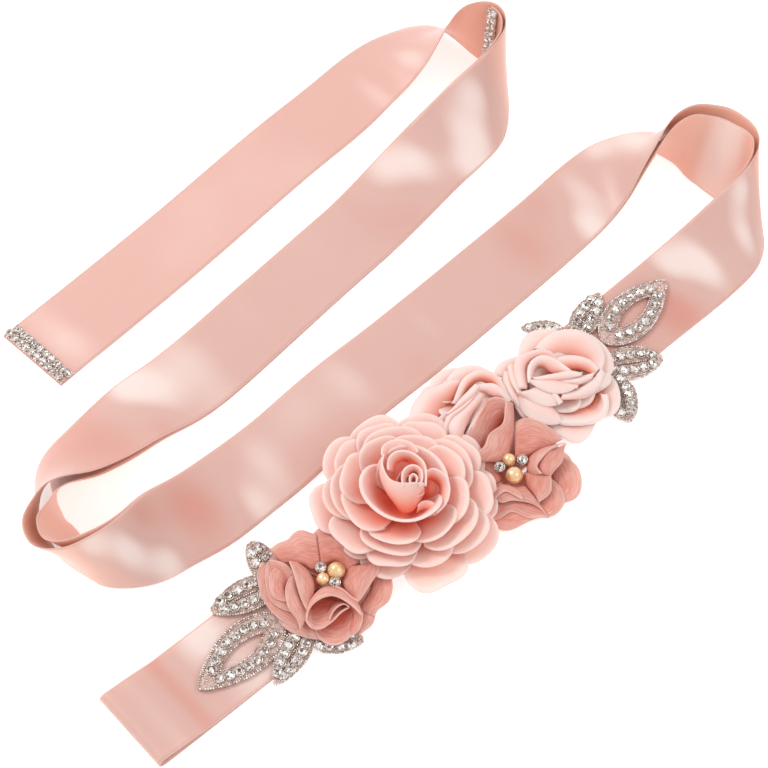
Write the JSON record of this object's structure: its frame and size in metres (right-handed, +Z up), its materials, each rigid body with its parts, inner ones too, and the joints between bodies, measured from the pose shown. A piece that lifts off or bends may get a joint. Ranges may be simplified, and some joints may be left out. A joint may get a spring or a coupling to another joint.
{
  "type": "satin sash",
  "caption": "Satin ribbon sash laid in long looping runs, with chiffon and satin flowers and rhinestone leaves sewn on one run.",
  "frame": {"origin": "middle of the bounding box on the underside, where the ribbon rests", "axes": "+Z up from the table, the shortest extent; +X to the right and +Y away from the viewer, as the sash lies in the picture"},
  "size_m": [0.3666, 0.392, 0.0405],
  "materials": {
    "ribbon_satin": "blush satin, broad soft sheen",
    "rose_chiffon": "matt coral-pink chiffon over satin",
    "crinkle_chiffon": "crinkled chiffon, matt, slightly sheer",
    "rose_satin": "pale satin, soft sheen",
    "pearls": "champagne pearl lustre",
    "rhinestones": "clear cut stones in bright metal cups on a sheer backing"
  },
  "bodies": {
    "root": {"end_fold": "ribbon_satin", "first_end_trim": "rhinestones", "inner_left_turn": "ribbon_satin", "inner_right_turn": "ribbon_satin", "inner_run_2": "ribbon_satin", "inner_run_3": "ribbon_satin", "inner_run_4": "ribbon_satin", "inner_top_turn": "ribbon_satin", "left_turn": "ribbon_satin", "lower_chiffon_pearls": "pearls", "lower_chiffon_petal_1": "crinkle_chiffon", "lower_chiffon_petal_2": "crinkle_chiffon", "lower_chiffon_petal_3": "crinkle_chiffon", "lower_chiffon_petal_4": "crinkle_chiffon", "lower_chiffon_petal_5": "crinkle_chiffon", "lower_left_leaf": "rhinestones", "lower_open_leaf": "rhinestones", "lower_right_leaf": "rhinestones", "lower_satin_rose_coil": "rose_satin", "lower_satin_rose_petal_1": "rose_satin", "lower_satin_rose_petal_2": "rose_satin", "lower_small_leaf": "rhinestones", "right_turn": "ribbon_satin", "rose_coil": "rose_chiffon", "rose_petal_1": "rose_chiffon", "rose_petal_10": "rose_chiffon", "rose_petal_11": "rose_chiffon", "rose_petal_12": "rose_chiffon", "rose_petal_13": "rose_chiffon", "rose_petal_14": "rose_chiffon", "rose_petal_15": "rose_chiffon", "rose_petal_16": "rose_chiffon", "rose_petal_2": "rose_chiffon", "rose_petal_3": "rose_chiffon", "rose_petal_4": "rose_chiffon", "rose_petal_5": "rose_chiffon", "rose_petal_6": "rose_chiffon", "rose_petal_7": "rose_chiffon", "rose_petal_8": "rose_chiffon", "rose_petal_9": "rose_chiffon", "run_1": "ribbon_satin", "run_2": "ribbon_satin", "run_3": "ribbon_satin", "run_4": "ribbon_satin", "second_end_trim": "rhinestones", "top_turn": "ribbon_satin", "upper_chiffon_pearls": "pearls", "upper_chiffon_petal_1": "crinkle_chiffon", "upper_chiffon_petal_2": "crinkle_chiffon", "upper_chiffon_petal_3": "crinkle_chiffon", "upper_chiffon_petal_4": "crinkle_chiffon", "upper_chiffon_petal_5": "crinkle_chiffon", "upper_left_leaf": "rhinestones", "upper_low_leaf": "rhinestones", "upper_open_leaf": "rhinestones", "upper_right_leaf": "rhinestones", "upper_satin_rose_coil": "rose_satin", "upper_satin_rose_petal_1": "rose_satin", "upper_satin_rose_petal_2": "rose_satin", "upper_small_leaf": "rhinestones"}
  },
  "joints": []
}
